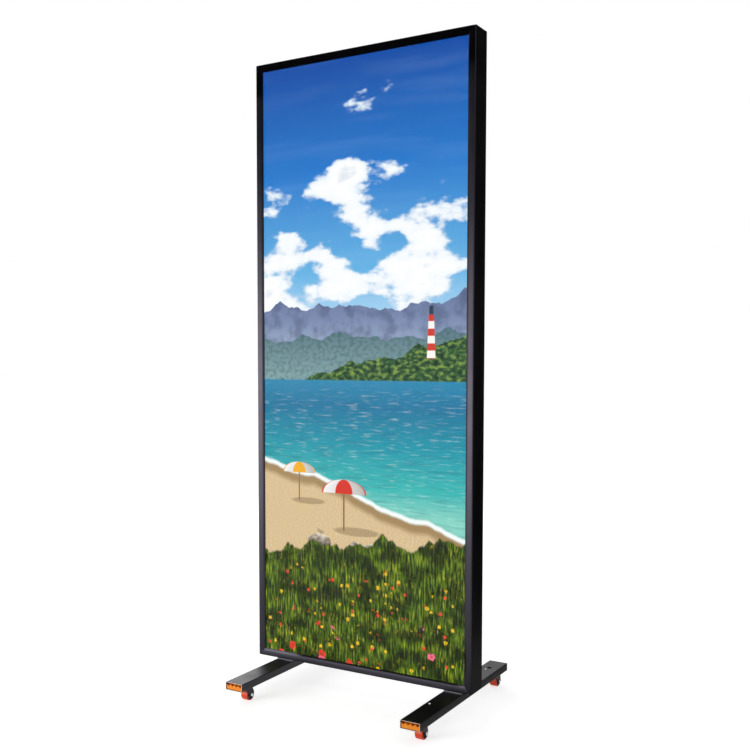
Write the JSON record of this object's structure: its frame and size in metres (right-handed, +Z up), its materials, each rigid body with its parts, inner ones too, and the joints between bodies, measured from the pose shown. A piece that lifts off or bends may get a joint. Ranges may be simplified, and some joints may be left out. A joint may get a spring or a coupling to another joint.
{
  "type": "led light box",
  "caption": "Tall free-standing light box: a black frame with hinged front rails holds a backlit print before lamp bars, on flat tube feet with swivel castors.",
  "frame": {"origin": "on the floor under the middle of the box", "axes": "+X along the width, -Y out of the lit front, +Z up"},
  "size_m": [0.8, 0.64, 2.077],
  "materials": {
    "coated_aluminium": "satin black powder coat over an extruded profile",
    "mill_aluminium": "bare, as pressed",
    "spring_steel": "bright rolled strip",
    "clear_sheet": "clear, gloss",
    "printed_film": "printed backlit film",
    "opal_acrylic": "opal, lit from behind",
    "grey_panel": "dark grey rigid board",
    "circuit_board": "white coated boards with clear lenses",
    "black_plastic": "moulded black",
    "powdered_steel": "satin black powder coat",
    "zinc_steel": "zinc plated",
    "amber_plastic": "moulded amber",
    "red_tread": "cast elastic tread, satin",
    "hub_plastic": "moulded dark grey"
  },
  "bodies": {
    "light_box": {"profile_left": "coated_aluminium", "profile_top": "coated_aluminium", "profile_right": "coated_aluminium", "profile_bottom": "coated_aluminium", "spring_strip_left": "spring_steel", "spring_strip_top": "spring_steel", "spring_strip_right": "spring_steel", "spring_strip_bottom": "spring_steel", "corner_key_left": "mill_aluminium", "corner_key_top": "mill_aluminium", "corner_key_right": "mill_aluminium", "corner_key_bottom": "mill_aluminium", "cover_sheet": "clear_sheet", "graphic_print": "printed_film", "diffuser_panel": "opal_acrylic", "back_panel": "grey_panel", "led_bar_1": "circuit_board", "led_bar_2": "circuit_board", "led_bar_3": "circuit_board", "led_bar_4": "circuit_board", "power_supply": "mill_aluminium", "power_inlet": "black_plastic", "switch_housing": "black_plastic", "foot_left": "powdered_steel", "mounting_plate_left": "zinc_steel", "foot_bolt_left_outer": "zinc_steel", "foot_bolt_left_inner": "zinc_steel", "end_insert_left_front": "amber_plastic", "end_insert_left_rear": "amber_plastic", "foot_right": "powdered_steel", "mounting_plate_right": "zinc_steel", "foot_bolt_right_outer": "zinc_steel", "foot_bolt_right_inner": "zinc_steel", "end_insert_right_front": "amber_plastic", "end_insert_right_rear": "amber_plastic", "castor_plate_left_front": "powdered_steel", "castor_plate_left_rear": "powdered_steel", "castor_plate_right_front": "powdered_steel", "castor_plate_right_rear": "powdered_steel"},
    "front_rail_left": {"rail_left": "coated_aluminium"},
    "front_rail_top": {"rail_top": "coated_aluminium"},
    "front_rail_right": {"rail_right": "coated_aluminium"},
    "front_rail_bottom": {"rail_bottom": "coated_aluminium"},
    "rocker": {"switch_rocker": "black_plastic"},
    "swivel_left_front": {"castor_fork_left_front": "powdered_steel", "castor_axle_left_front": "zinc_steel"},
    "wheel_left_front": {"castor_tread_left_front": "red_tread", "castor_hub_left_front": "hub_plastic"},
    "swivel_left_rear": {"castor_fork_left_rear": "powdered_steel", "castor_axle_left_rear": "zinc_steel"},
    "wheel_left_rear": {"castor_tread_left_rear": "red_tread", "castor_hub_left_rear": "hub_plastic"},
    "swivel_right_front": {"castor_fork_right_front": "powdered_steel", "castor_axle_right_front": "zinc_steel"},
    "wheel_right_front": {"castor_tread_right_front": "red_tread", "castor_hub_right_front": "hub_plastic"},
    "swivel_right_rear": {"castor_fork_right_rear": "powdered_steel", "castor_axle_right_rear": "zinc_steel"},
    "wheel_right_rear": {"castor_tread_right_rear": "red_tread", "castor_hub_right_rear": "hub_plastic"}
  },
  "joints": [
    {"name": "rail_hinge_left", "type": "hinge", "parent": "light_box", "child": "front_rail_left", "pos_m": [-0.3975, -0.0375, 1.077], "axis": [0, 0, -1], "range_deg": [0, 100]},
    {"name": "rail_hinge_top", "type": "hinge", "parent": "light_box", "child": "front_rail_top", "pos_m": [0, -0.0375, 2.0745], "axis": [-1, 0, 0], "range_deg": [0, 100]},
    {"name": "rail_hinge_right", "type": "hinge", "parent": "light_box", "child": "front_rail_right", "pos_m": [0.3975, -0.0375, 1.077], "axis": [0, 0, 1], "range_deg": [0, 100]},
    {"name": "rail_hinge_bottom", "type": "hinge", "parent": "light_box", "child": "front_rail_bottom", "pos_m": [0, -0.0375, 0.0795], "axis": [1, 0, 0], "range_deg": [0, 90]},
    {"name": "switch_tilt", "type": "hinge", "parent": "light_box", "child": "rocker", "pos_m": [0.184, 0.0365, 0.231], "axis": [-1, 0, 0], "range_deg": [0, 16]},
    {"name": "castor_swivel_left_front", "type": "hinge", "parent": "light_box", "child": "swivel_left_front", "pos_m": [-0.292, -0.27, 0.0435], "axis": [0, 0, 1], "continuous": true},
    {"name": "wheel_spin_left_front", "type": "hinge", "parent": "swivel_left_front", "child": "wheel_left_front", "pos_m": [-0.292, -0.248, 0.02], "axis": [1, 0, 0], "continuous": true},
    {"name": "castor_swivel_left_rear", "type": "hinge", "parent": "light_box", "child": "swivel_left_rear", "pos_m": [-0.292, 0.27, 0.0435], "axis": [0, 0, 1], "continuous": true},
    {"name": "wheel_spin_left_rear", "type": "hinge", "parent": "swivel_left_rear", "child": "wheel_left_rear", "pos_m": [-0.292, 0.292, 0.02], "axis": [1, 0, 0], "continuous": true},
    {"name": "castor_swivel_right_front", "type": "hinge", "parent": "light_box", "child": "swivel_right_front", "pos_m": [0.338, -0.27, 0.0435], "axis": [0, 0, 1], "continuous": true},
    {"name": "wheel_spin_right_front", "type": "hinge", "parent": "swivel_right_front", "child": "wheel_right_front", "pos_m": [0.338, -0.248, 0.02], "axis": [1, 0, 0], "continuous": true},
    {"name": "castor_swivel_right_rear", "type": "hinge", "parent": "light_box", "child": "swivel_right_rear", "pos_m": [0.338, 0.27, 0.0435], "axis": [0, 0, 1], "continuous": true},
    {"name": "wheel_spin_right_rear", "type": "hinge", "parent": "swivel_right_rear", "child": "wheel_right_rear", "pos_m": [0.338, 0.292, 0.02], "axis": [1, 0, 0], "continuous": true}
  ]
}
